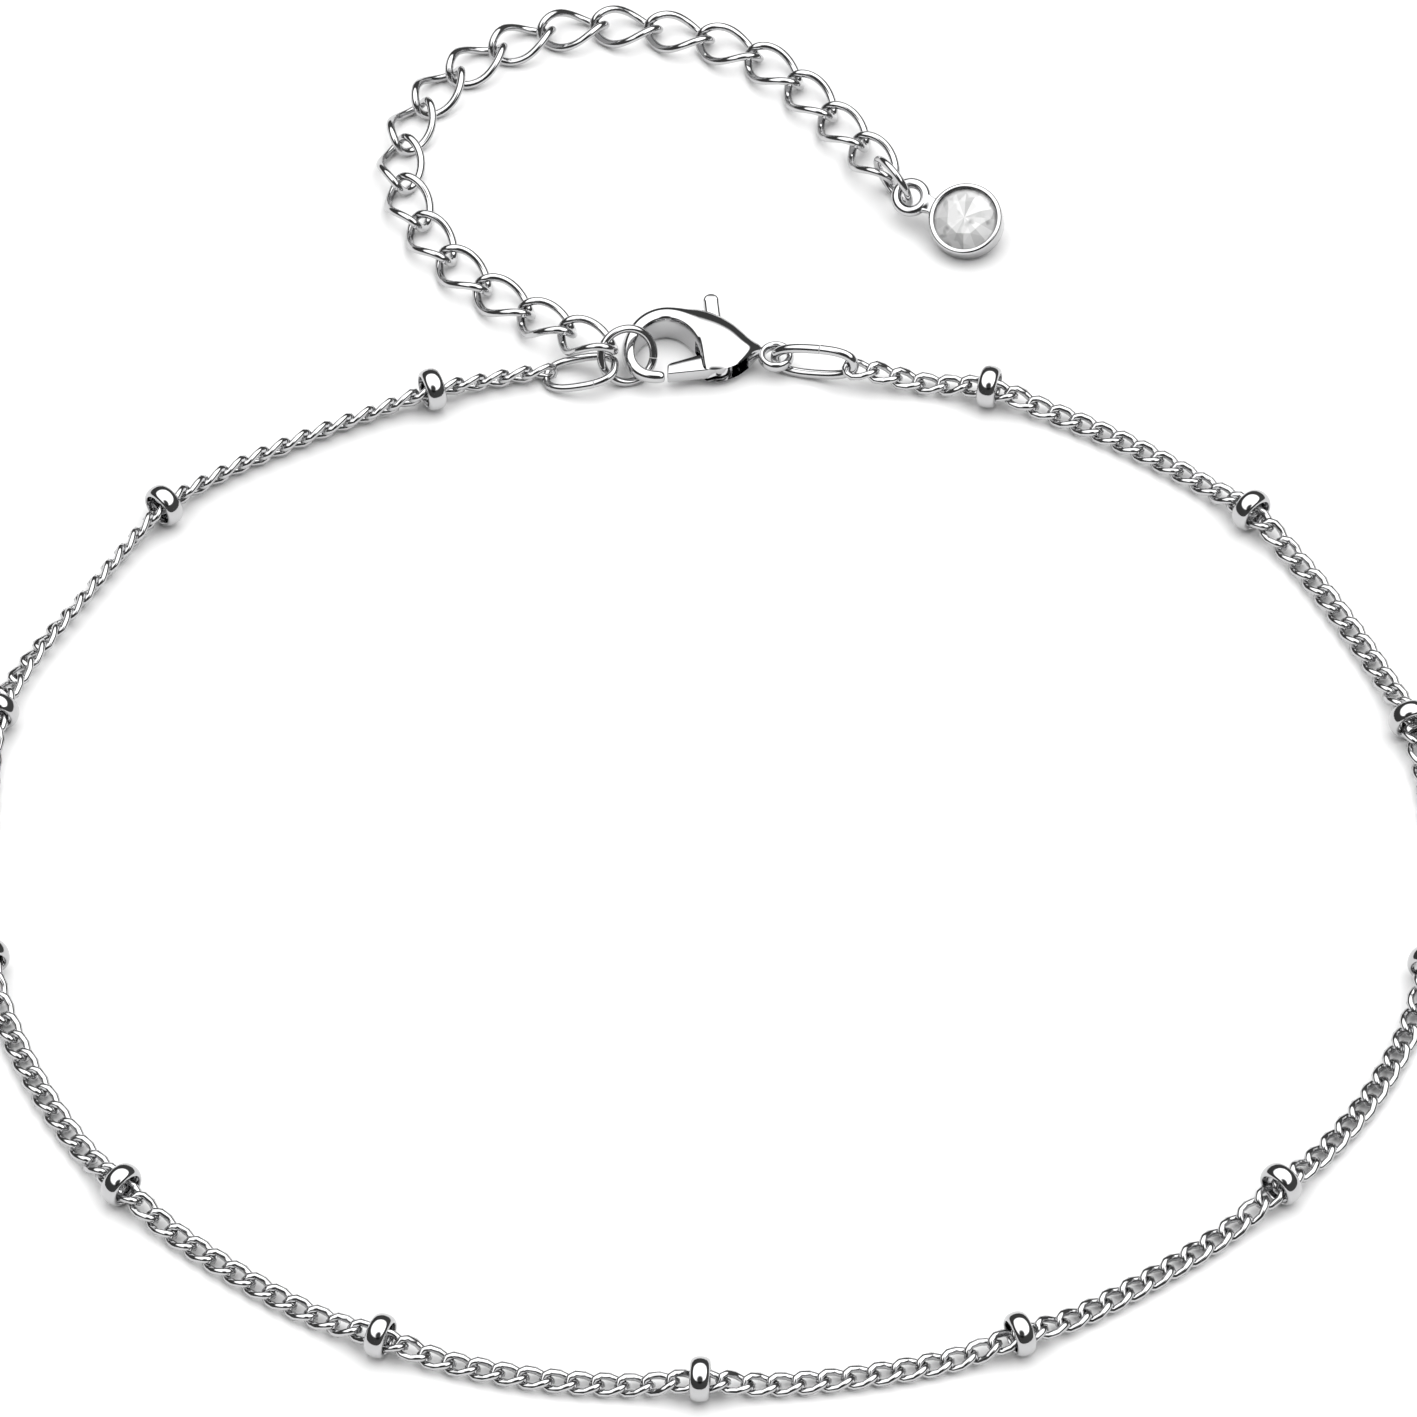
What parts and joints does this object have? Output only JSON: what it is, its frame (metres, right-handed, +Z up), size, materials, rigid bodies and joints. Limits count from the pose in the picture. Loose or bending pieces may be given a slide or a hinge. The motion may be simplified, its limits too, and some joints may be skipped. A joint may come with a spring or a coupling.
{
  "type": "chain anklet",
  "caption": "Fine curb chain anklet with small ring beads, a lobster clasp, a curb-link extender and a small round crystal charm, lying closed and flat.",
  "frame": {"origin": "centre of the whole anklet's bounding box, on the surface it lies on", "axes": "+Z up from the table, +Y from the loop towards the clasp and the extender, +X along the clasp from its hook to its eye"},
  "size_m": [0.0774, 0.0946, 0.0033],
  "materials": {
    "chain_metal": "polished",
    "bead_metal": "mirror polished",
    "extender_metal": "polished",
    "ring_metal": "polished",
    "clasp_metal": "polished",
    "lever_metal": "polished",
    "pin_steel": "plain",
    "charm_metal": "polished",
    "crystal": "faceted, clear"
  },
  "bodies": {
    "anklet": {"curb_chain": "chain_metal", "bead_01": "bead_metal", "bead_02": "bead_metal", "bead_03": "bead_metal", "bead_04": "bead_metal", "bead_05": "bead_metal", "bead_06": "bead_metal", "bead_07": "bead_metal", "bead_08": "bead_metal", "bead_09": "bead_metal", "bead_10": "bead_metal", "bead_11": "bead_metal", "bead_12": "bead_metal", "bead_13": "bead_metal", "jump_ring_chain_end": "ring_metal", "joining_ring": "ring_metal", "extender_link_01": "extender_metal", "extender_link_02": "extender_metal", "extender_link_03": "extender_metal", "extender_link_04": "extender_metal", "extender_link_05": "extender_metal", "extender_link_06": "extender_metal", "extender_link_07": "extender_metal", "extender_link_08": "extender_metal", "extender_link_09": "extender_metal", "extender_link_10": "extender_metal", "extender_link_11": "extender_metal", "extender_link_12": "extender_metal", "extender_link_13": "extender_metal", "extender_link_14": "extender_metal", "extender_link_15": "extender_metal", "extender_link_16": "extender_metal", "extender_link_17": "extender_metal", "extender_link_18": "extender_metal", "extender_link_19": "extender_metal", "clasp_body": "clasp_metal", "clasp_pin": "pin_steel", "jump_ring_clasp": "ring_metal", "charm_jump_ring": "ring_metal", "charm_bezel": "charm_metal", "crystal": "crystal"},
    "lever": {"clasp_lever": "lever_metal"}
  },
  "joints": [
    {"name": "lever_hinge", "type": "hinge", "parent": "anklet", "child": "lever", "pos_m": [0.00046, 0.02121, 0.001], "axis": [0, 0, 1], "range_deg": [-20, 0], "stiffness_Nm_per_rad": 0.0005}
  ]
}
